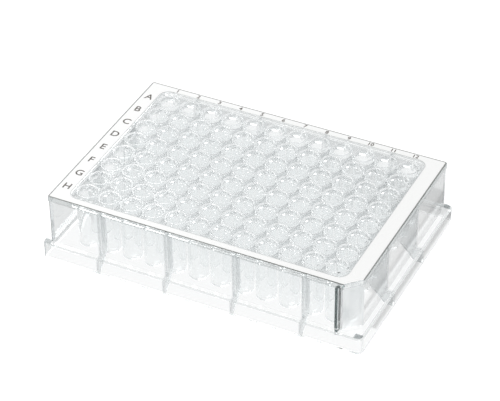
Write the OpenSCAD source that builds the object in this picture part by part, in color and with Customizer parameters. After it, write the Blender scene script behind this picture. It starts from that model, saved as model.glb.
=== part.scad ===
// 96-well deep plate, moulded in one piece from clear polypropylene.
// The origin is the middle of the footprint on the table, +X runs from column 1
// to column 12, +Y from row H to row A, and +Z is up. All sizes are in mm.

/* [Footprint] */
// Length of the base flange, along the twelve columns
base_length = 127.76; // [126.5:0.01:131]
// Width of the base flange, along the eight rows
base_width = 85.48; // [84.5:0.01:89]
// Radius of the flange's upright corners
base_corner_r = 2.2; // [1.8:0.1:5]
// Height of the whole moulding
plate_height = 27; // [20:0.5:45]

/* [Base flange] */
// Height of the flange's outer face
flange_height = 6.5; // [5:0.1:9]
// Thickness of the flange's upright wall
flange_wall = 1.2; // [0.8:0.05:1.8]
// Thickness of the ledge that joins the flange to the skirt
ledge_thickness = 1.2; // [0.8:0.05:2]
// Bevel along the flange's upper outer edge
flange_bevel = 0.5; // [0.2:0.05:0.8]

/* [Skirt] */
// Width of the ledge at the two short ends
ledge_end = 2.85; // [2.2:0.05:3.5]
// Width of the ledge along the two long sides
ledge_side = 2.3; // [1.8:0.05:3]
// Thickness of the skirt wall above the ledge
skirt_wall = 1.2; // [0.8:0.05:1.6]
// Radius of the body's upright corners, at the border's edge
body_corner_r = 1; // [0.8:0.1:4]
// Leg of the 45 degree corner cut beside well H12
notch_leg = 6; // [3:0.25:8]
// How far the solid corner behind that cut reaches past the cut's ends
notch_fill = 0.7; // [0.2:0.1:1.5]

/* [Border and deck] */
// How far the border's edge stands proud of the skirt wall
lip_overhang = 0.3; // [0.1:0.05:0.6]
// Thickness of the border that runs round the wells
border_thickness = 2; // [1.5:0.1:3]
// Small bevel along the border's upper outer edge
border_bevel = 0.2; // [0.1:0.05:0.4]
// Width of the border at the two short ends
border_end = 6.68; // [6:0.02:6.7]
// Width of the border along the two long sides
border_side = 3.49; // [3:0.01:3.9]
// Radius of the corners of the sunk window inside the border
window_corner_r = 3.6; // [2.5:0.1:4.2]
// Depth of the deck below the border's top
recess_depth = 1.75; // [1:0.05:2.5]
// Thickness of the deck between the wells
deck_thickness = 1.2; // [0.8:0.05:2]
// Thickness of the upright step between border and deck
step_wall = 1.1; // [0.8:0.05:1.8]
// Thickness of the white film printed on the border
print_thickness = 0.06; // [0.04:0.01:0.1]
// Bare margin between the print and the edges of the border's flat top
print_margin = 0.1; // [0.05:0.05:0.4]

/* [Wells] */
// Distance from one well's centre to the next
well_pitch = 9; // [8.9:0.01:9]
// Bore of a well at its mouth
mouth_d = 6.9; // [6.2:0.05:7.1]
// Bore of a well at its lower end, where the dome rounds it off
bore_base_d = 6.1; // [5.6:0.05:6.15]
// Thickness of a well's side and bottom
well_wall = 0.8; // [0.6:0.05:0.9]
// Outside diameter of the raised rim round a well
rim_d = 8.4; // [8:0.05:8.6]
// How far the rims stop below the border's top
rim_drop = 0.1; // [0:0.05:0.4]
// Small bevel inside a well's mouth
mouth_bevel = 0.25; // [0.1:0.05:0.4]
// Radius of the domed bottom, inside
dome_r = 3.8; // [3.4:0.05:6]
// Height of the wells' bottoms above the table
bottom_clearance = 2.8; // [1.5:0.1:5]

/* [Webs and ribs] */
// Thickness of the low webs that join each well to its neighbours and to the border
web_thickness = 0.8; // [0.6:0.05:1.2]
// Height of those webs
web_height = 3.6; // [2.5:0.1:6]
// How far the webs stop below the rims
web_drop = 0.4; // [0.2:0.05:1]
// Thickness of the upright ribs between skirt and wells
rib_thickness = 1.2; // [0.8:0.05:2]
// Which well from a corner the outer ribs of a long side meet
side_rib_outer = 2; // [1:1:3]
// Which well from a corner the inner ribs of a long side meet
side_rib_inner = 5; // [4:1:5]
// Which well from a corner the ribs of a short end meet
end_rib = 3; // [1:1:4]
// Height of the ribs' feet above the table
rib_foot = 0.6; // [0.3:0.1:1.5]
// Level part of a rib's foot at the short ends
end_rib_toe = 2.6; // [0.5:0.1:3]
// Thickness of the single rib between well H12 and the skirt's front wall
corner_rib_thickness = 1; // [0.8:0.05:1.4]
// Height of that rib's foot above the table
corner_rib_foot = 4; // [3:0.1:5]

/* [Hidden] */

clear_plastic = [0.86, 0.91, 0.92, 0.45];
print_white = [0.97, 0.97, 0.96];

$fn = 48;
overcut = 1;        // how far a cutter runs past the face it opens
bite = 0.3;         // how far a rib runs into the wall that it joins

lip_length = base_length - 2 * (ledge_end - lip_overhang);
lip_width = base_width - 2 * (ledge_side - lip_overhang);
skirt_length = base_length - 2 * ledge_end;
skirt_width = base_width - 2 * ledge_side;
window_length = lip_length - 2 * border_end;
window_width = lip_width - 2 * border_side;

well_columns = floor(window_length / well_pitch);
well_rows = floor(window_width / well_pitch);
column_span = (well_columns - 1) * well_pitch;
row_span = (well_rows - 1) * well_pitch;

ledge_under = flange_height - ledge_thickness;
border_under = plate_height - border_thickness;
deck_top = plate_height - recess_depth;
deck_under = deck_top - deck_thickness;
rim_top = plate_height - rim_drop;
web_top = rim_top - web_drop;
bore_embed = (mouth_d + bore_base_d) / 4 + bite;

// An upright block with rounded corners, centred on the origin, from z0 to z1.
module rounded_block(length, width, corner_r, z0, z1) {
    height = z1 - z0;
    translate([0, 0, z0]) {
        translate([-length / 2 + corner_r, -width / 2, 0])
            cube([length - 2 * corner_r, width, height]);
        translate([-length / 2, -width / 2 + corner_r, 0])
            cube([length, width - 2 * corner_r, height]);
        for (sx = [-1, 1], sy = [-1, 1])
            translate([sx * (length / 2 - corner_r), sy * (width / 2 - corner_r), 0])
                cylinder(h = height, r = corner_r);
    }
}

// A long bar, centred on the origin along X, whose two upper edges are bevelled.
module bevelled_bar(length, width, bevel, z0, z1) {
    rotate([90, 0, 90])
        linear_extrude(length, center = true)
            polygon([
                [-width / 2, z0], [width / 2, z0], [width / 2, z1 - bevel],
                [width / 2 - bevel, z1], [bevel - width / 2, z1], [-width / 2, z1 - bevel]
            ]);
}

// A rounded block, as above, with a bevel all round its upper edge.
module bevelled_block(length, width, corner_r, bevel, z0, z1) {
    bevelled_bar(length - 2 * corner_r, width, bevel, z0, z1);
    rotate(90)
        bevelled_bar(width - 2 * corner_r, length, bevel, z0, z1);
    for (sx = [-1, 1], sy = [-1, 1])
        translate([sx * (length / 2 - corner_r), sy * (width / 2 - corner_r), z0]) {
            cylinder(h = z1 - bevel - z0, r = corner_r);
            translate([0, 0, z1 - bevel - z0])
                cylinder(h = bevel, r1 = corner_r, r2 = corner_r - bevel);
        }
}

// What is left of a corner's radius when its outline moves in.
function inner_r(corner_r, inset) = max(corner_r - inset, corner_r / 4);

// The block outside the flat that cuts the H12 corner, moved in by inset.
module notch_cutter(inset, z0, z1) {
    reach = notch_leg / sqrt(2) + inset;
    translate([lip_length / 2, -lip_width / 2, (z0 + z1) / 2])
        rotate(45)
            cube([2 * reach, 2 * reach, z1 - z0 + 2 * overcut], center = true);
}

// The upper body's outline as a block: the lip's outline moved in by inset.
module body_block(inset, z0, z1) {
    difference() {
        rounded_block(
            lip_length - 2 * inset, lip_width - 2 * inset,
            inner_r(body_corner_r, inset), z0, z1
        );
        notch_cutter(inset, z0, z1);
    }
}

// The flange's outline as a block, moved in by inset.
module flange_block(inset, z0, z1) {
    rounded_block(
        base_length - 2 * inset, base_width - 2 * inset, inner_r(base_corner_r, inset), z0, z1
    );
}

// The sunk window's outline as a block, moved out by grow.
module window_block(grow, z0, z1) {
    rounded_block(
        window_length + 2 * grow, window_width + 2 * grow, window_corner_r + grow, z0, z1
    );
}

// Hollow flange round the foot, open below, with its ledge up to the skirt.
module flange() {
    difference() {
        bevelled_block(
            base_length, base_width, base_corner_r, flange_bevel, 0, flange_height
        );
        flange_block(flange_wall, -overcut, ledge_under);
        body_block(lip_overhang + skirt_wall, -overcut, flange_height + overcut);
    }
}

// Upright wall from the ledge to the border.
module skirt() {
    difference() {
        body_block(lip_overhang, ledge_under, border_under + bite);
        body_block(lip_overhang + skirt_wall, ledge_under - overcut, plate_height);
    }
}

// Solid corner behind the H12 cut, whose inner side is square like an uncut corner's.
module notch_block() {
    leg = notch_leg + notch_fill;
    intersection() {
        body_block(lip_overhang, ledge_under, border_under + bite);
        translate([lip_length / 2 - leg, -lip_width / 2, ledge_under])
            cube([leg, leg, border_under + bite - ledge_under]);
    }
}

// Flat border, its step down to the deck, and the deck itself.
module top_plate() {
    difference() {
        union() {
            bevelled_block(
                lip_length, lip_width, body_corner_r, border_bevel, border_under, plate_height
            );
            window_block(step_wall, deck_under, plate_height);
        }
        window_block(0, deck_top, plate_height + overcut);
        notch_cutter(0, deck_under, plate_height);
    }
}

// Puts its children at the centre of each well.
module at_wells() {
    for (column = [0 : well_columns - 1], row = [0 : well_rows - 1])
        translate([column * well_pitch - column_span / 2, row * well_pitch - row_span / 2, 0])
            children();
}

// A tapered round bar that stands on a dome: the form of a well's outside and of its bore.
module domed_bar(base_r, top_r, ball_r, base, top) {
    height = top - base;
    intersection() {
        translate([0, 0, base])
            cylinder(h = height, r1 = base_r, r2 = top_r);
        union() {
            translate([0, 0, base + ball_r])
                sphere(r = ball_r);
            translate([-ball_r, -ball_r, base + ball_r])
                cube([2 * ball_r, 2 * ball_r, height]);
        }
    }
}

// Outside of one well, with the raised rim on its top.
module well_tube() {
    domed_bar(
        bore_base_d / 2 + well_wall, mouth_d / 2 + well_wall, dome_r + well_wall,
        bottom_clearance, deck_top
    );
    translate([0, 0, deck_under])
        cylinder(h = rim_top - deck_under, d = rim_d);
}

// Bore of one well, with the bevel of its mouth.
module well_bore() {
    domed_bar(
        bore_base_d / 2, mouth_d / 2, dome_r, bottom_clearance + well_wall, rim_top + overcut
    );
    translate([0, 0, rim_top - mouth_bevel])
        cylinder(h = 2 * mouth_bevel, r1 = mouth_d / 2, r2 = mouth_d / 2 + 2 * mouth_bevel);
}

// Low webs along every row and column, from border to border, joining the wells.
module webs() {
    for (column = [0 : well_columns - 1])
        translate([column * well_pitch - column_span / 2, 0, web_top - web_height / 2])
            cube([web_thickness, window_width + step_wall, web_height], center = true);
    for (row = [0 : well_rows - 1])
        translate([0, row * well_pitch - row_span / 2, web_top - web_height / 2])
            cube([window_length + step_wall, web_thickness, web_height], center = true);
}

// One rib, drawn in the plane that runs from a well straight out to the skirt.
// Its foot is level for toe, and then slopes up at 45 degrees to the well.
module rib(well_centre, step_face, skirt_face, flange_face, toe) {
    well_side = well_centre + bore_embed;
    toe_end = flange_face - toe;
    rotate([90, 0, 0])
        linear_extrude(rib_thickness, center = true)
            polygon([
                [well_side, rib_foot + toe_end - well_side],
                [toe_end, rib_foot],
                [flange_face + bite, rib_foot],
                [flange_face + bite, ledge_under + bite],
                [skirt_face + bite, ledge_under + bite],
                [skirt_face + bite, border_under + bite],
                [step_face, border_under + bite],
                [step_face, deck_under + bite],
                [well_side, deck_under + bite]
            ]);
}

// Ribs that tie the outer wells to the skirt on all four sides.
module ribs() {
    for (turn = [0, 180], side = [-1, 1]) rotate(turn) {
        translate([0, side * (row_span / 2 - (end_rib - 1) * well_pitch), 0])
            rib(
                column_span / 2, (window_length + step_wall) / 2,
                skirt_length / 2 - skirt_wall, base_length / 2 - flange_wall, end_rib_toe
            );
        for (well = [side_rib_outer, side_rib_inner])
            translate([side * (column_span / 2 - (well - 1) * well_pitch), 0, 0])
                rotate(90)
                    rib(
                        row_span / 2, (window_width + step_wall) / 2,
                        skirt_width / 2 - skirt_wall, base_width / 2 - flange_wall, 0
                    );
    }
}

// Upright rib that runs along +Y from the skirt's front wall into the side of well H12.
module corner_rib() {
    intersection() {
        body_block(lip_overhang + bite, corner_rib_foot, deck_under + bite);
        translate([
            column_span / 2 + bore_embed - corner_rib_thickness / 2, -lip_width / 2, corner_rib_foot
        ])
            cube([
                corner_rib_thickness, (lip_width - row_span) / 2, deck_under + bite - corner_rib_foot
            ]);
    }
}

// The whole clear moulding.
module plate() {
    color(clear_plastic)
        difference() {
            union() {
                flange();
                skirt();
                notch_block();
                top_plate();
                ribs();
                corner_rib();
                webs();
                at_wells() well_tube();
            }
            at_wells() well_bore();
        }
}

// White film on the flat border, round the window and along the corner cut.
module border_print() {
    print_top = plate_height + print_thickness;
    color(print_white)
        difference() {
            body_block(border_bevel + print_margin, plate_height, print_top);
            window_block(print_margin, plate_height - overcut, print_top + overcut);
        }
}

plate();
border_print();
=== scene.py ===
"""Looks of a clear 96-well deep plate: finishes, printed grid marks, studio and camera.

The plate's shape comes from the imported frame. This script dresses the moulding and the white
film on its border, adds the letters and numbers that are printed on the film, and lights them.
"""

import logging
import math
from dataclasses import dataclass, field
from enum import Enum

import bpy
from mathutils import Matrix, Vector


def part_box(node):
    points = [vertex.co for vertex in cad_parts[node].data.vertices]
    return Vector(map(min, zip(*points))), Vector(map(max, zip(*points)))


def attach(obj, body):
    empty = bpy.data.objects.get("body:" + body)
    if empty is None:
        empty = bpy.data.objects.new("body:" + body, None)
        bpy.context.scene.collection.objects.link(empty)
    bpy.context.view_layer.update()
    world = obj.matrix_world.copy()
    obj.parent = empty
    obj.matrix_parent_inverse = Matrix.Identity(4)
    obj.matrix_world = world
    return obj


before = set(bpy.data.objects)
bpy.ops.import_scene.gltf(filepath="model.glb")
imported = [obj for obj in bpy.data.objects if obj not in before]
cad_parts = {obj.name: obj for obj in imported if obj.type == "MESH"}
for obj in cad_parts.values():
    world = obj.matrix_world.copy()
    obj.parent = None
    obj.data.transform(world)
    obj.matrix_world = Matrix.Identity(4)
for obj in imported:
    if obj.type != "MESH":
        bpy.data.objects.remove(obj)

logging.basicConfig(level=logging.INFO, format="%(name)s: %(message)s")
log = logging.getLogger("deep_well_plate")

MM = 0.001
BODY = "root"
PLATE = "plate"
FILM = "border_print"

Colour = tuple[float, float, float]
Outline = tuple[float, float, float]
Socket = bpy.types.NodeSocket


class Effect(Enum):
    """The shader node groups that the finishes share."""

    MOULDED_FLOW = "moulded_flow"
    SPECKLE = "speckle"
    ROUNDED_OUTLINE = "rounded_outline"


class ShaderTree:
    """A node tree with short ways to add nodes and links."""

    def __init__(self, tree: bpy.types.NodeTree) -> None:
        """Wrap a tree and clear it.

        Args:
            tree: The material's, world's or group's node tree.
        """
        self.tree = tree
        tree.nodes.clear()

    def add(self, kind: str, inputs: dict | None = None, **settings: object) -> bpy.types.Node:
        """Add a node.

        Args:
            kind: The node's type name, such as "ShaderNodeMath".
            inputs: Values or output sockets by the input's name or number.
            settings: Properties of the node itself.

        Returns:
            The new node.
        """
        node = self.tree.nodes.new(kind)
        for name, value in settings.items():
            setattr(node, name, value)
        for name, value in (inputs or {}).items():
            if isinstance(value, Socket):
                self.tree.links.new(value, node.inputs[name])
            else:
                node.inputs[name].default_value = value
        return node

    def math(self, operation: str, *values: object) -> Socket:
        """Add a Math node.

        Args:
            operation: The Math node's operation, such as "ADD".
            values: Numbers or output sockets, in the order of the inputs.

        Returns:
            The node's output.
        """
        node = self.add("ShaderNodeMath", dict(enumerate(values)), operation=operation)
        return node.outputs[0]

    def mix_colour(self, share: object, first: object, second: object) -> Socket:
        """Mix two colours.

        Args:
            share: The share of the second, as a number or an output.
            first: The first colour, or an output.
            second: The second colour, or an output.

        Returns:
            The mixed colour.
        """
        node = self.add("ShaderNodeMix", {"Factor": share}, data_type="RGBA")
        for name, value in (("A", first), ("B", second)):
            socket = next(i for i in node.inputs if i.name == name and i.type == "RGBA")
            if isinstance(value, Socket):
                self.tree.links.new(value, socket)
            else:
                socket.default_value = (*value[:3], 1.0)
        return next(o for o in node.outputs if o.type == "RGBA")

    def mix_shader(self, share: object, first: Socket, second: Socket) -> Socket:
        """Mix two shaders.

        Args:
            share: The share of the second, as a number or an output.
            first: The first shader's output.
            second: The second shader's output.

        Returns:
            The mix's output.
        """
        return self.add("ShaderNodeMixShader", {0: share, 1: first, 2: second}).outputs[0]


@dataclass(frozen=True)
class Band:
    """A stretch between two places on one axis."""

    low: float
    high: float

    def mask(self, t: ShaderTree, place: Socket) -> Socket:
        """Give 1 inside the band.

        Args:
            t: The tree to build in.
            place: The place along the axis.

        Returns:
            The mask.
        """
        middle, half = (self.low + self.high) / 2, (self.high - self.low) / 2
        return t.math("COMPARE", place, middle, half)


def new_group(effect: Effect, numbers: dict[str, float], outputs: list[str]) -> ShaderTree:
    """Make an empty shader node group with number sockets.

    Args:
        effect: Which effect the group holds.
        numbers: The inputs' names with their default values.
        outputs: The outputs' names.

    Returns:
        The group's tree.
    """
    group = bpy.data.node_groups.new(effect.value, "ShaderNodeTree")
    for name, value in numbers.items():
        socket = group.interface.new_socket(name, in_out="INPUT", socket_type="NodeSocketFloat")
        socket.default_value = value
    for name in outputs:
        group.interface.new_socket(name, in_out="OUTPUT", socket_type="NodeSocketFloat")
    return ShaderTree(group)


def make_moulded_flow() -> None:
    """Make the group for the long soft waves and fine haze that a mould leaves in clear plastic."""
    stretched = (1.0, 1.0, 0.25)
    grain_height, wave_haze, grain_haze = 0.08, 0.6, 0.4
    t = new_group(
        Effect.MOULDED_FLOW, {"Wave Scale": 60.0, "Grain Scale": 900.0}, ["Height", "Haze"]
    )
    asked = t.add("NodeGroupInput")
    place = t.add("ShaderNodeTexCoord").outputs["Object"]
    stretch = t.add(
        "ShaderNodeMapping", {"Vector": place, "Scale": stretched}
    ).outputs["Vector"]
    waves = t.add(
        "ShaderNodeTexNoise",
        {"Vector": stretch, "Scale": asked.outputs["Wave Scale"], "Detail": 2.0},
    ).outputs["Fac"]
    grain = t.add(
        "ShaderNodeTexNoise",
        {"Vector": place, "Scale": asked.outputs["Grain Scale"], "Detail": 3.0},
    ).outputs["Fac"]
    height = t.math("ADD", waves, t.math("MULTIPLY", grain, grain_height))
    haze = t.math(
        "ADD", t.math("MULTIPLY", waves, wave_haze), t.math("MULTIPLY", grain, grain_haze)
    )
    t.add("NodeGroupOutput", {"Height": height, "Haze": haze})


def make_rounded_outline() -> None:
    """Make the group for the distance outside a rounded rectangle about the plate's middle."""
    t = new_group(
        Effect.ROUNDED_OUTLINE,
        {"Half Length": 0.06, "Half Width": 0.04, "Radius": 0.001},
        ["Distance"],
    )
    asked = t.add("NodeGroupInput").outputs
    parts = object_place(t)
    over, corner = [], []
    for axis, half in (("X", "Half Length"), ("Y", "Half Width")):
        start = t.math("SUBTRACT", asked[half], asked["Radius"])
        past = t.math("SUBTRACT", t.math("ABSOLUTE", parts[axis]), start)
        outer = t.math("MAXIMUM", past, 0.0)
        over.append(past)
        corner.append(t.math("MULTIPLY", outer, outer))
    outside = t.math("SQRT", t.math("ADD", *corner))
    inside = t.math("MINIMUM", t.math("MAXIMUM", *over), 0.0)
    distance = t.math("SUBTRACT", t.math("ADD", outside, inside), asked["Radius"])
    t.add("NodeGroupOutput", {"Distance": distance})


def make_speckle() -> None:
    """Make the group for the fine mottle of a printed surface."""
    fine_share, blotch_share = 0.35, 0.65
    t = new_group(Effect.SPECKLE, {"Scale": 1500.0, "Blotch Scale": 90.0}, ["Mottle", "Height"])
    asked = t.add("NodeGroupInput")
    place = t.add("ShaderNodeTexCoord").outputs["Object"]
    fine = t.add(
        "ShaderNodeTexNoise", {"Vector": place, "Scale": asked.outputs["Scale"], "Detail": 2.0}
    ).outputs["Fac"]
    blotch = t.add(
        "ShaderNodeTexNoise", {"Vector": place, "Scale": asked.outputs["Blotch Scale"]}
    ).outputs["Fac"]
    mottle = t.math(
        "ADD", t.math("MULTIPLY", fine, fine_share), t.math("MULTIPLY", blotch, blotch_share)
    )
    t.add("NodeGroupOutput", {"Mottle": mottle, "Height": fine})


def object_place(t: ShaderTree) -> bpy.types.bpy_prop_collection:
    """Split the place on the object into its X, Y and Z outputs.

    Args:
        t: The tree to build in.

    Returns:
        The outputs.
    """
    place = t.add("ShaderNodeTexCoord").outputs["Object"]
    return t.add("ShaderNodeSeparateXYZ", {"Vector": place}).outputs


def group_node(t: ShaderTree, effect: Effect, **values: float) -> bpy.types.Node:
    """Place an effect in a material.

    Args:
        t: The material's tree.
        effect: The effect to place.
        values: The group's inputs, with _ for each space in a name.

    Returns:
        The group's node.
    """
    node = t.add("ShaderNodeGroup", node_tree=bpy.data.node_groups[effect.value])
    for name, value in values.items():
        node.inputs[name.replace("_", " ")].default_value = value
    return node


def outline_distance(t: ShaderTree, outline: Outline) -> Socket:
    """Give how far a place lies outside an outline, negative inside.

    Args:
        t: The tree to build in.
        outline: Half the length, half the width and the corners' radius.

    Returns:
        The distance.
    """
    length, width, radius = outline
    node = group_node(
        t, Effect.ROUNDED_OUTLINE, Half_Length=length, Half_Width=width, Radius=radius
    )
    return node.outputs["Distance"]


def spread_over(t: ShaderTree, value: Socket, ends: tuple[float, float]) -> Socket:
    """Spread a value between 0 and 1 over a range.

    Args:
        t: The tree to build in.
        value: The value.
        ends: What 0 and 1 become.

    Returns:
        The spread value.
    """
    low, high = ends
    ranged = {"Value": value, "To Min": low, "To Max": high}
    return t.add("ShaderNodeMapRange", ranged).outputs["Result"]


def inside_rays(t: ShaderTree) -> Socket:
    """Give 1 for the rays that show a surface in or through the plastic.

    Args:
        t: The tree to build in.

    Returns:
        The mask.
    """
    path = t.add("ShaderNodeLightPath").outputs
    return t.math("MAXIMUM", path["Is Glossy Ray"], path["Is Transmission Ray"])


def new_material(name: str) -> tuple[bpy.types.Material, ShaderTree]:
    """Make a material with an empty tree.

    Args:
        name: The material's name.

    Returns:
        The material and its tree.
    """
    material = bpy.data.materials.new(name)
    material.use_nodes = True
    return material, ShaderTree(material.node_tree)


@dataclass(frozen=True)
class ClearPlastic:
    """Clear moulded polypropylene with a slight haze.

    The darker tints are painted shade, and they and the rougher faces are painted by place. They
    stand in for light that real ribs, corners and lips lose, and don't follow from the plastic
    itself.
    """

    tint: Colour = (0.972, 0.979, 0.98)
    ior: float = 1.49
    roughness: tuple[float, float] = (0.03, 0.06)
    bump: float = 0.05
    edge_round: float = 0.3 * MM
    depth_tint: Colour = (0.8, 0.824, 0.83)
    depth_density: float = 70.0
    bent_passes: float = 8.0
    mirrored_passes: float = 3.0
    straight_passes: float = 6.0
    deep_glow: Colour = (1.0, 1.0, 1.0)
    matt_roughness: float = 0.2
    # painted shade: the deck between the wells, darker than the clear plastic is
    deck_tint: Colour = (0.55, 0.565, 0.57)
    deck: Band = Band(25.23 * MM, 25.27 * MM)
    # painted shade on the skirt's ribs
    rib_tint: Colour = (0.74, 0.76, 0.765)
    rib_half: float = 0.65 * MM
    end_ribs: tuple[float, ...] = (13.5 * MM,)
    end_ribs_from: float = 53.6 * MM
    side_ribs: tuple[float, ...] = (13.5 * MM, 40.5 * MM)
    side_ribs_from: float = 36.0 * MM
    # painted shade: a near-black upright line beside the cut corner
    bar_tint: Colour = (0.02, 0.03, 0.03)
    bar: Band = Band(52.5 * MM, 53.6 * MM)
    bar_depths: Band = Band(-40.5 * MM, -34.5 * MM)
    bar_foot: float = 4.0 * MM
    # painted shade down the skirt's upright corners
    corner_tint: Colour = (0.15, 0.17, 0.175)
    corner_starts: tuple[float, float] = (60.5 * MM, 39.85 * MM)
    corner_levels: Band = Band(6.48 * MM, 24.9 * MM)
    cut: Band = Band(95.62 * MM, 95.68 * MM)
    cut_roughness: float = 0.3
    # painted shade on the bevel along the flange's upper edge
    foot_tint: Colour = (0.8, 0.82, 0.82)
    foot: Outline = (63.88 * MM, 42.74 * MM, 2.2 * MM)
    foot_depth: float = 0.48 * MM
    foot_levels: Band = Band(6.02 * MM, 6.48 * MM)
    # painted shade on the lip band around the border
    lip_tint: Colour = (0.6, 0.62, 0.62)
    # painted shade: a dark line along the top outer edge
    rim_tint: Colour = (0.08, 0.085, 0.085)
    lip: Outline = (61.33 * MM, 40.74 * MM, 1.3 * MM)
    lip_depth: float = 0.5 * MM
    lip_level: float = 24.9 * MM
    rim_level: float = 26.95 * MM

    def bar_mask(self, t: ShaderTree, place: bpy.types.bpy_prop_collection) -> Socket:
        """Give 1 on the upright rib beside the cut corner, where a near-black line of shade is
        painted.

        Args:
            t: The tree to build in.
            place: The place's X, Y and Z outputs.

        Returns:
            The mask.
        """
        here = t.math(
            "MULTIPLY", self.bar.mask(t, place["X"]), self.bar_depths.mask(t, place["Y"])
        )
        return t.math("MULTIPLY", here, t.math("GREATER_THAN", place["Z"], self.bar_foot))

    def corner_mask(self, t: ShaderTree, place: bpy.types.bpy_prop_collection) -> Socket:
        """Give 1 on the skirt's upright corners, below the lip and above the ledge, which get
        painted shade.

        Args:
            t: The tree to build in.
            place: The place's X, Y and Z outputs.

        Returns:
            The mask.
        """
        far = [
            t.math("GREATER_THAN", t.math("ABSOLUTE", place[axis]), start)
            for axis, start in zip("XY", self.corner_starts)
        ]
        level = self.corner_levels.mask(t, place["Z"])
        return t.math("MULTIPLY", t.math("MULTIPLY", *far), level)

    def foot_mask(self, t: ShaderTree, place: bpy.types.bpy_prop_collection) -> Socket:
        """Give 1 on the bevel along the flange's upper edge, which gets painted shade.

        Args:
            t: The tree to build in.
            place: The place's X, Y and Z outputs.

        Returns:
            The mask.
        """
        near = t.math("GREATER_THAN", outline_distance(t, self.foot), -self.foot_depth)
        return t.math("MULTIPLY", near, self.foot_levels.mask(t, place["Z"]))

    def rib_mask(self, t: ShaderTree, place: bpy.types.bpy_prop_collection) -> Socket:
        """Give 1 on the ribs that stiffen the skirt.

        Args:
            t: The tree to build in.
            place: The place's X, Y and Z outputs.

        Returns:
            The mask.
        """
        along = t.math("ABSOLUTE", place["X"])
        across = t.math("ABSOLUTE", place["Y"])
        mask = None
        for where, far, ribs, start in (
            (across, along, self.end_ribs, self.end_ribs_from),
            (along, across, self.side_ribs, self.side_ribs_from),
        ):
            past = t.math("GREATER_THAN", far, start)
            for rib in ribs:
                here = t.math("MULTIPLY", past, t.math("COMPARE", where, rib, self.rib_half))
                mask = here if mask is None else t.math("MAXIMUM", mask, here)
        return mask

    def surface_tint(
        self, t: ShaderTree, place: bpy.types.bpy_prop_collection, deck: Socket, ribs: Socket
    ) -> Socket:
        """Give the surface's tint with painted shade, darker on the deck, ribs, corners, bevels and
        lip.

        Args:
            t: The tree to build in.
            place: The place's X, Y and Z outputs.
            deck: The deck's mask.
            ribs: The ribs' mask.

        Returns:
            The tint.
        """
        tint = self.tint
        # each mask lays painted shade over the plastic's own tint
        for mask, colour in (
            (deck, self.deck_tint),
            (ribs, self.rib_tint),
            (self.bar_mask(t, place), self.bar_tint),
            (self.corner_mask(t, place), self.corner_tint),
            (self.foot_mask(t, place), self.foot_tint),
        ):
            tint = t.mix_colour(mask, tint, colour)
        # painted shade on the lip band, and a darker painted line along the top rim
        outside = t.math("GREATER_THAN", outline_distance(t, self.lip), -self.lip_depth)
        for level, colour in ((self.lip_level, self.lip_tint), (self.rim_level, self.rim_tint)):
            above = t.math("GREATER_THAN", place["Z"], level)
            tint = t.mix_colour(t.math("MULTIPLY", outside, above), tint, colour)
        return tint

    def surface_roughness(
        self,
        t: ShaderTree,
        place: bpy.types.bpy_prop_collection,
        haze: Socket,
        matt: Socket,
    ) -> Socket:
        """Give the surface's roughness, higher on the cut corner and where it is matt.

        Args:
            t: The tree to build in.
            place: The place's X, Y and Z outputs.
            haze: The mould's haze, from 0 to 1.
            matt: The mask of the matt faces.

        Returns:
            The roughness.
        """
        cut = self.cut.mask(t, t.math("SUBTRACT", place["X"], place["Y"]))
        rough = t.math(
            "MAXIMUM",
            spread_over(t, haze, self.roughness),
            t.math("MULTIPLY", cut, self.cut_roughness),
        )
        return t.math("MAXIMUM", rough, t.math("MULTIPLY", matt, self.matt_roughness))

    def surface(self, t: ShaderTree) -> Socket:
        """Make the plastic's own surface.

        Args:
            t: The tree to build in.

        Returns:
            The surface's shader.
        """
        flow = group_node(t, Effect.MOULDED_FLOW).outputs
        place = object_place(t)
        ribs = self.rib_mask(t, place)
        deck = self.deck.mask(t, place["Z"])
        matt = t.math("MAXIMUM", ribs, deck)
        rounded = t.add("ShaderNodeBevel", {"Radius": self.edge_round}).outputs["Normal"]
        bump = t.add(
            "ShaderNodeBump",
            {
                "Height": flow["Height"],
                "Strength": self.bump,
                "Distance": MM,
                "Normal": rounded,
            },
        ).outputs["Normal"]
        return t.add(
            "ShaderNodeBsdfPrincipled",
            {
                "Base Color": self.surface_tint(t, place, deck, ribs),
                "Roughness": self.surface_roughness(t, place, flow["Haze"], matt),
                "IOR": self.ior,
                "Transmission Weight": 1.0,
                "Normal": bump,
            },
        ).outputs["BSDF"]

    def deep_in(self, t: ShaderTree, surface: Socket) -> Socket:
        """Let a ray that has met many walls go straight on, and then glow.

        Args:
            t: The tree to build in.
            surface: The plastic's own surface.

        Returns:
            The surface as every ray sees it.
        """
        path = t.add("ShaderNodeLightPath").outputs
        straight = t.add("ShaderNodeBsdfTransparent").outputs["BSDF"]
        glow = t.add("ShaderNodeEmission", {"Color": (*self.deep_glow, 1.0)}).outputs["Emission"]
        spent = t.math("GREATER_THAN", path["Transparent Depth"], self.straight_passes)
        bent = t.math("GREATER_THAN", path["Ray Depth"], self.bent_passes)
        mirrored = t.math("GREATER_THAN", path["Glossy Depth"], self.mirrored_passes)
        beyond = t.mix_shader(spent, straight, glow)
        return t.mix_shader(t.math("MAXIMUM", bent, mirrored), surface, beyond)

    def material(self) -> bpy.types.Material:
        """Make the material.

        Returns:
            The clear plastic, which takes up light along its depth.
        """
        made, t = new_material("clear_plastic_moulded")
        depth = t.add(
            "ShaderNodeVolumeAbsorption",
            {"Color": (*self.depth_tint, 1.0), "Density": self.depth_density},
        ).outputs["Volume"]
        seen = self.deep_in(t, self.surface(t))
        t.add("ShaderNodeOutputMaterial", {"Surface": seen, "Volume": depth})
        return made


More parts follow.
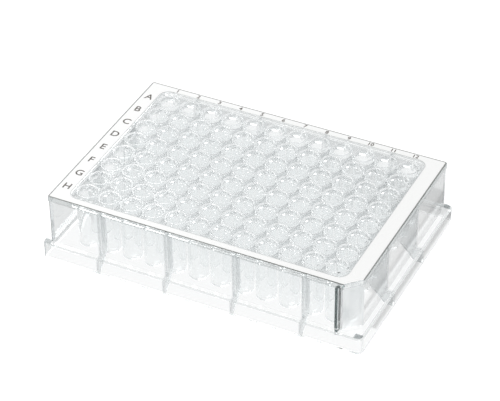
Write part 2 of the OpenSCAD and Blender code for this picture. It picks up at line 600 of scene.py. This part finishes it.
@dataclass(frozen=True)
class WhiteFilm:
    """Satin white film with painted shade lines along its edges, and a painted glow that makes it
    as bright from below as from above.
    """

    colour: Colour = (0.94, 0.945, 0.94)
    # painted glow: the colour the film shines to rays that see it in or through the plastic
    seen_below: Colour = (0.95, 0.96, 0.96)
    roughness: tuple[float, float] = (0.3, 0.42)
    mottle: float = 0.012
    bump: float = 0.03
    bump_height: float = 0.1 * MM
    # painted shade: a dark line along the film's outer edge
    edge_line: Colour = (0.25, 0.26, 0.25)
    edge_width: float = 0.36 * MM
    # painted shade: a grey line along the film's inner edge by the wells
    window_line: Colour = (0.6, 0.62, 0.62)
    window_width: float = 0.3 * MM
    outer: Outline = (61.03 * MM, 40.44 * MM, 0.8 * MM)
    window: Outline = (54.75 * MM, 37.35 * MM, 3.7 * MM)

    def material(self) -> bpy.types.Material:
        """Make the material.

        Returns:
            The white film.
        """
        made, t = new_material("white_film")
        speckle = group_node(t, Effect.SPECKLE).outputs
        darker = tuple(c - self.mottle for c in self.colour)
        colour = t.mix_colour(speckle["Mottle"], darker, self.colour)
        # painted shade lines along the outer edge and the window's edge
        ends = t.math("GREATER_THAN", outline_distance(t, self.outer), -self.edge_width)
        stops = t.math("LESS_THAN", outline_distance(t, self.window), self.window_width)
        colour = t.mix_colour(stops, colour, self.window_line)
        colour = t.mix_colour(ends, colour, self.edge_line)
        rough = spread_over(t, speckle["Mottle"], self.roughness)
        bump = t.add(
            "ShaderNodeBump",
            {"Height": speckle["Height"], "Strength": self.bump, "Distance": self.bump_height},
        ).outputs["Normal"]
        surface = t.add(
            "ShaderNodeBsdfPrincipled",
            {"Base Color": colour, "Roughness": rough, "Normal": bump},
        ).outputs["BSDF"]
        # painted glow: rays in or through the plastic see the film as an even emission, not as lit
        even = t.add("ShaderNodeEmission", {"Color": (*self.seen_below, 1.0)}).outputs["Emission"]
        shown = t.mix_shader(inside_rays(t), surface, even)
        t.add("ShaderNodeOutputMaterial", {"Surface": shown})
        return made


@dataclass(frozen=True)
class PrintedInk:
    """Dark brown-black ink of the grid marks."""

    colour: Colour = (0.035, 0.022, 0.012)
    worn: Colour = (0.06, 0.045, 0.035)
    roughness: float = 0.45
    fine_scale: float = 5000.0
    blotch_scale: float = 700.0

    def material(self) -> bpy.types.Material:
        """Make the material.

        Returns:
            The ink, a little paler where it lies thin.
        """
        made, t = new_material("printed_ink")
        speckle = group_node(
            t, Effect.SPECKLE, Scale=self.fine_scale, Blotch_Scale=self.blotch_scale
        ).outputs
        colour = t.mix_colour(speckle["Mottle"], self.colour, self.worn)
        surface = t.add(
            "ShaderNodeBsdfPrincipled", {"Base Color": colour, "Roughness": self.roughness}
        ).outputs["BSDF"]
        t.add("ShaderNodeOutputMaterial", {"Surface": surface})
        return made


@dataclass
class Moulding:
    """The clear plate itself, as packed."""

    finish: ClearPlastic = field(default_factory=ClearPlastic)

    def dress(self) -> bpy.types.Object:
        """Give the moulding its clear plastic.

        Returns:
            The dressed node.
        """
        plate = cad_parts[PLATE]
        plate.data.materials.clear()
        plate.data.materials.append(self.finish.material())
        plate.visible_shadow = False
        return plate


@dataclass
class Film:
    """The white film on the border, as packed."""

    finish: WhiteFilm = field(default_factory=WhiteFilm)

    def dress(self) -> bpy.types.Object:
        """Give the film its satin white.

        Returns:
            The dressed node.
        """
        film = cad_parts[FILM]
        film.data.materials.clear()
        film.data.materials.append(self.finish.material())
        return film


@dataclass
class GridMarks:
    """The row letters and column numbers printed on the film."""

    rows: str = "ABCDEFGH"
    columns: int = 12
    pitch: float = 9 * MM
    letter_height: float = 3.1 * MM
    number_height: float = 1.75 * MM
    letter_inset: float = 3.28 * MM
    number_inset: float = 1.6 * MM
    drop: float = 0.6 * MM
    boldness: float = 0.055 * MM
    lift: float = 0.004 * MM
    thickness: float = 0.004 * MM
    finish: PrintedInk = field(default_factory=PrintedInk)

    def glyphs(self, text: str, height: float, place: Vector) -> bpy.types.Object:
        """Make one mark as a thin solid.

        Args:
            text: The letter or number.
            height: The height of a capital.
            place: The middle of the mark, on its underside.

        Returns:
            The mark as a mesh object.
        """
        curve = bpy.data.curves.new(f"mark_{text}", "FONT")
        curve.body = text
        curve.align_x = "CENTER"
        curve.align_y = "CENTER"
        curve.size = height / self.capital_share()
        curve.extrude = self.thickness / 2
        curve.offset = self.boldness
        writing = bpy.data.objects.new(curve.name, curve)
        bpy.context.scene.collection.objects.link(writing)
        bpy.context.view_layer.update()
        graph = bpy.context.evaluated_depsgraph_get()
        mesh = bpy.data.meshes.new_from_object(writing.evaluated_get(graph))
        bpy.data.objects.remove(writing)
        middle = self.middle_of(mesh)
        mesh.transform(Matrix.Translation(place - middle + Vector((0, 0, self.thickness / 2))))
        mark = bpy.data.objects.new(curve.name, mesh)
        bpy.context.scene.collection.objects.link(mark)
        return mark

    @staticmethod
    def middle_of(mesh: bpy.types.Mesh) -> Vector:
        """Find the middle of a mesh's box.

        Args:
            mesh: The mesh.

        Returns:
            The middle.
        """
        corners = [v.co for v in mesh.vertices]
        low = Vector(map(min, zip(*corners)))
        high = Vector(map(max, zip(*corners)))
        return (low + high) / 2

    @staticmethod
    def capital_share() -> float:
        """Measure a capital in the built-in font.

        Returns:
            Its height as a share of the font's size.
        """
        curve = bpy.data.curves.new("capital", "FONT")
        curve.body = "H"
        writing = bpy.data.objects.new("capital", curve)
        bpy.context.scene.collection.objects.link(writing)
        bpy.context.view_layer.update()
        share = writing.dimensions.y / curve.size
        bpy.data.objects.remove(writing)
        return share

    def join(self, marks: list[bpy.types.Object], name: str) -> bpy.types.Object:
        """Join marks into one piece and dress it.

        Args:
            marks: The marks to join.
            name: The piece's name.

        Returns:
            The joined piece.
        """
        with bpy.context.temp_override(active_object=marks[0], selected_editable_objects=marks):
            bpy.ops.object.join()
        piece = marks[0]
        piece.name = name
        piece.data.name = name
        piece.data.materials.clear()
        piece.data.materials.append(self.finish.material())
        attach(piece, BODY)
        return piece

    def build(self) -> list[bpy.types.Object]:
        """Print the letters down the left side and the numbers along the back.

        Returns:
            The two pieces.
        """
        low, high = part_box(FILM)
        level = high.z + self.lift
        side, back = low.x + self.letter_inset, high.y - self.number_inset
        letters = [
            self.glyphs(letter, self.letter_height, Vector((side, -along - self.drop, level)))
            for letter, along in zip(self.rows, self.spread(len(self.rows)))
        ]
        numbers = [
            self.glyphs(str(number), self.number_height, Vector((along, back, level)))
            for number, along in enumerate(self.spread(self.columns), start=1)
        ]
        return [self.join(letters, "row_letters"), self.join(numbers, "column_numbers")]

    def spread(self, count: int) -> list[float]:
        """Return the places of a count of wells at the pitch, about the middle."""
        return [(step - (count - 1) / 2) * self.pitch for step in range(count)]


@dataclass
class Camera:
    """The camera and where it stands."""

    azimuth: float = math.radians(26.364)
    elevation: float = math.radians(37.308)
    roll: float = math.radians(-0.517)
    distance: float = 805.8 * MM
    target: Vector = field(default_factory=lambda: Vector((-4.014, 8.581, 10.0)) * MM)
    lens: float = 155.9
    nearest: float = 10.0 * MM

    def build(self) -> bpy.types.Object:
        """Place the camera.

        Returns:
            The camera.
        """
        data = bpy.data.cameras.new("camera")
        data.lens = self.lens
        data.clip_start = self.nearest
        camera = bpy.data.objects.new("camera", data)
        bpy.context.scene.collection.objects.link(camera)
        back = Vector(
            (
                math.sin(self.azimuth) * math.cos(self.elevation),
                -math.cos(self.azimuth) * math.cos(self.elevation),
                math.sin(self.elevation),
            )
        )
        level = Vector((0, 0, 1)).cross(back).normalized()
        turned = Matrix.Rotation(self.roll, 3, back)
        right = turned @ level
        up = turned @ back.cross(level)
        facing = Matrix((right, up, back)).transposed().to_4x4()
        camera.matrix_world = Matrix.Translation(self.target + back * self.distance) @ facing
        bpy.context.scene.camera = camera
        return camera


@dataclass(frozen=True)
class GreyCard:
    """A patch of painted shade on the floor, which only the plastic shows."""

    left: float
    right: float
    front: float
    back: float
    level: float


@dataclass(frozen=True)
class Lamp:
    """A soft square lamp that faces the plate, in metres and watts."""

    name: str
    place: tuple[float, float, float]
    side: float
    power: float

    def hang(self) -> bpy.types.Object:
        """Hang the lamp.

        Returns:
            The lamp.
        """
        data = bpy.data.lights.new(self.name, "AREA")
        data.shape = "SQUARE"
        data.size = self.side
        data.energy = self.power
        lamp = bpy.data.objects.new(self.name, data)
        bpy.context.scene.collection.objects.link(lamp)
        lamp.location = self.place
        lamp.rotation_mode = "QUATERNION"
        lamp.rotation_quaternion = Vector(self.place).to_track_quat("Z", "Y")
        return lamp


@dataclass
class Studio:
    """White floor, soft lamps and a pale room with darker sides."""

    floor_side: float = 12.0
    floor_drop: float = 0.01 * MM
    floor_colour: Colour = (0.8, 0.8, 0.8)
    floor_glow: float = 0.35
    floor_seen: float = 1.0
    # painted shade: darker patches of floor beside and behind the plate, seen only in the plastic
    cards: tuple[GreyCard, ...] = (
        GreyCard(64.2 * MM, 68.5 * MM, -28.0 * MM, 62.0 * MM, 0.12),
        GreyCard(67.5 * MM, 84.0 * MM, -10.0 * MM, 90.0 * MM, 0.5),
        GreyCard(10.0 * MM, 64.0 * MM, 42.5 * MM, 59.0 * MM, 0.75),
        GreyCard(-90.0 * MM, -63.5 * MM, -43.0 * MM, -5.0 * MM, 0.8),
    )
    card_edge: float = 1.0 * MM
    room_light: float = 0.68
    horizon: Colour = (0.3, 0.31, 0.315)
    overhead: Colour = (1.0, 1.0, 1.0)
    overhead_from: float = 0.35
    lamps: tuple[Lamp, ...] = (
        Lamp("key_lamp", (-0.9, 0.7, 1.5), 1.2, 17.0),
        Lamp("fill_lamp", (1.3, -0.9, 1.1), 1.0, 6.0),
    )

    def floor(self) -> bpy.types.Object:
        """Make the floor, which shows white, keeps the plate's shadow and is clear from below.

        Returns:
            The floor.
        """
        half = self.floor_side / 2
        mesh = bpy.data.meshes.new("floor")
        corners = [(-half, -half, 0), (half, -half, 0), (half, half, 0), (-half, half, 0)]
        mesh.from_pydata(corners, [], [(0, 1, 2, 3)])
        made, t = new_material("floor_white")
        path = t.add("ShaderNodeLightPath").outputs
        matt = t.add("ShaderNodeBsdfDiffuse", {"Color": (*self.floor_colour, 1.0)}).outputs["BSDF"]
        lift = t.add(
            "ShaderNodeEmission",
            {"Strength": t.math("MULTIPLY", path["Is Camera Ray"], self.floor_glow)},
        ).outputs["Emission"]
        lit = t.add("ShaderNodeAddShader", {0: matt, 1: lift}).outputs[0]
        even = t.add("ShaderNodeEmission", {"Strength": self.floor_fall(t)}).outputs["Emission"]
        shown = t.mix_shader(inside_rays(t), lit, even)
        below = t.add("ShaderNodeNewGeometry").outputs["Backfacing"]
        open_below = t.add("ShaderNodeBsdfTransparent").outputs["BSDF"]
        surface = t.mix_shader(below, shown, open_below)
        t.add("ShaderNodeOutputMaterial", {"Surface": surface})
        mesh.materials.append(made)
        floor = bpy.data.objects.new("floor", mesh)
        bpy.context.scene.collection.objects.link(floor)
        floor.location.z = -self.floor_drop
        return floor

    def floor_fall(self, t: ShaderTree) -> Socket:
        """Give the floor's brightness in the plastic, which patches of painted shade lower beside
        the plate.

        Args:
            t: The tree to build in.

        Returns:
            The brightness.
        """
        place = object_place(t)
        level = self.floor_seen
        for patch in self.cards:
            depths = [
                t.math("SUBTRACT", place["X"], patch.left),
                t.math("SUBTRACT", patch.right, place["X"]),
                t.math("SUBTRACT", place["Y"], patch.front),
                t.math("SUBTRACT", patch.back, place["Y"]),
            ]
            inside = t.math(
                "MINIMUM", t.math("MINIMUM", *depths[:2]), t.math("MINIMUM", *depths[2:])
            )
            share = t.add(
                "ShaderNodeMapRange", {"Value": inside, "From Min": 0.0, "From Max": self.card_edge}
            ).outputs["Result"]
            level = t.math(
                "SUBTRACT", level, t.math("MULTIPLY", share, self.floor_seen - patch.level)
            )
        return level

    def room(self) -> None:
        """Make the world: even light, and a pale room with darker sides for what is seen in it."""
        world = bpy.data.worlds.new("room")
        bpy.context.scene.world = world
        world.use_nodes = True
        t = ShaderTree(world.node_tree)
        direction = t.add("ShaderNodeTexCoord").outputs["Generated"]
        parts = t.add("ShaderNodeSeparateXYZ", {"Vector": direction}).outputs
        rise = t.add("ShaderNodeValToRGB", {"Fac": parts["Z"]})
        stops = rise.color_ramp.elements
        stops[0].position, stops[0].color = 0.0, (*self.horizon, 1.0)
        stops[1].position, stops[1].color = self.overhead_from, (*self.overhead, 1.0)
        shown = t.add("ShaderNodeBackground", {"Color": rise.outputs["Color"]}).outputs[0]
        light = t.add("ShaderNodeBackground", {"Strength": self.room_light}).outputs[0]
        camera = t.add("ShaderNodeLightPath").outputs["Is Camera Ray"]
        eye = t.math("MAXIMUM", camera, inside_rays(t))
        t.add("ShaderNodeOutputWorld", {"Surface": t.mix_shader(eye, light, shown)})

    def build(self) -> None:
        """Set up the floor, the room and the lamps, and show colours as they are."""
        self.floor()
        self.room()
        for lamp in self.lamps:
            lamp.hang()
        bpy.context.scene.view_settings.view_transform = "Standard"


def corners(box: tuple[Vector, Vector]) -> list[list[float]]:
    """Return a box's two corners as plain lists."""
    return [list(corner) for corner in box]


def main() -> None:
    """Dress the plate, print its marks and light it."""
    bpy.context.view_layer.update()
    make_moulded_flow()
    make_speckle()
    make_rounded_outline()
    Camera().build()
    Studio().build()
    made = [Moulding().dress(), Film().dress(), *GridMarks().build()]
    for piece in made:
        log.info("%s: %d faces", piece.name, len(piece.data.polygons))


if __name__ == "__main__":
    main()
